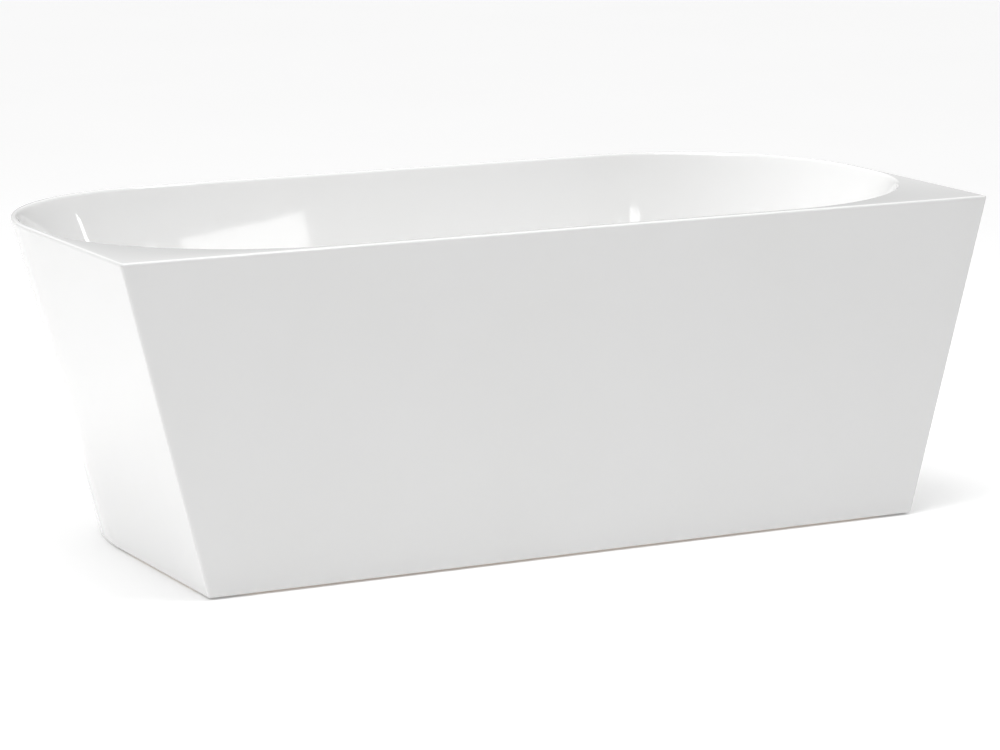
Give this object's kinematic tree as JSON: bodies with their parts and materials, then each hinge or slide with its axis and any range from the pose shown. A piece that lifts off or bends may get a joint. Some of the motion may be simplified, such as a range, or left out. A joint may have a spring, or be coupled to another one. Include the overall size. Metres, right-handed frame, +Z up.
{
  "type": "back-to-wall freestanding bathtub",
  "caption": "Back-to-wall freestanding bathtub with straight wall side, rounded room side, sloping ends, click-clack waste, overflow, low trap and levelling feet.",
  "frame": {"origin": "on the floor, under the middle of the rim's footprint", "axes": "+X along the bath's length, +Y from the wall side towards the room side, +Z up"},
  "size_m": [1.7, 0.8, 0.58],
  "materials": {
    "sanitary_acrylic": "glossy white",
    "glass_fibre": "sprayed chopped strand and resin",
    "chipboard": "resin-sealed chipboard",
    "batten_wood": "sawn pine",
    "frame_steel": "black powder coat",
    "zinc_steel": "zinc plated",
    "bright_chrome": "polished",
    "brass_works": "machined",
    "white_plastic": "moulded polypropylene",
    "foot_plastic": "moulded nylon",
    "black_rubber": "moulded"
  },
  "bodies": {
    "tub": {"inner_basin": "sanitary_acrylic", "basin_backing": "glass_fibre", "outer_skirt": "sanitary_acrylic", "skirt_battens": "batten_wood", "base_board": "chipboard", "frame_rail_wall": "frame_steel", "frame_rail_room": "frame_steel", "cross_bar_left": "frame_steel", "cross_bar_middle": "frame_steel", "cross_bar_right": "frame_steel", "tube_end_caps": "foot_plastic", "frame_screws": "zinc_steel", "skirt_brackets": "zinc_steel", "bracket_screws": "zinc_steel", "foot_weld_nuts": "zinc_steel", "foot_lock_nuts": "zinc_steel", "drain_flange": "bright_chrome", "drain_top_gasket": "black_rubber", "drain_lower_gasket": "black_rubber", "waste_body": "white_plastic", "waste_union_nut": "white_plastic", "plug_cartridge": "brass_works", "plug_spring": "zinc_steel", "overflow_cover": "bright_chrome", "overflow_cover_screw": "bright_chrome", "overflow_gasket": "black_rubber", "overflow_elbow": "white_plastic", "overflow_hose": "white_plastic", "hose_nuts": "white_plastic", "trap_bend": "white_plastic", "trap_outlet": "white_plastic", "trap_coupling": "white_plastic"},
    "plug": {"plug_cap": "bright_chrome", "plug_seal": "black_rubber", "plug_plunger": "white_plastic"},
    "foot_wall_left": {"foot_pad_wall_left": "foot_plastic", "foot_stud_wall_left": "zinc_steel"},
    "foot_wall_right": {"foot_pad_wall_right": "foot_plastic", "foot_stud_wall_right": "zinc_steel"},
    "foot_room_left": {"foot_pad_room_left": "foot_plastic", "foot_stud_room_left": "zinc_steel"},
    "foot_room_right": {"foot_pad_room_right": "foot_plastic", "foot_stud_room_right": "zinc_steel"},
    "foot_middle": {"foot_pad_middle": "foot_plastic", "foot_stud_middle": "zinc_steel"}
  },
  "joints": [
    {"name": "plug_lift", "type": "slide", "parent": "tub", "child": "plug", "axis": [0, 0, 1], "range_m": [0, 0.01]},
    {"name": "level_wall_left", "type": "slide", "parent": "tub", "child": "foot_wall_left", "axis": [0, 0, 1], "range_m": [-0.015, 0.003]},
    {"name": "level_wall_right", "type": "slide", "parent": "tub", "child": "foot_wall_right", "axis": [0, 0, 1], "range_m": [-0.015, 0.003]},
    {"name": "level_room_left", "type": "slide", "parent": "tub", "child": "foot_room_left", "axis": [0, 0, 1], "range_m": [-0.015, 0.003]},
    {"name": "level_room_right", "type": "slide", "parent": "tub", "child": "foot_room_right", "axis": [0, 0, 1], "range_m": [-0.015, 0.003]},
    {"name": "level_middle", "type": "slide", "parent": "tub", "child": "foot_middle", "axis": [0, 0, 1], "range_m": [-0.015, 0.003]}
  ]
}
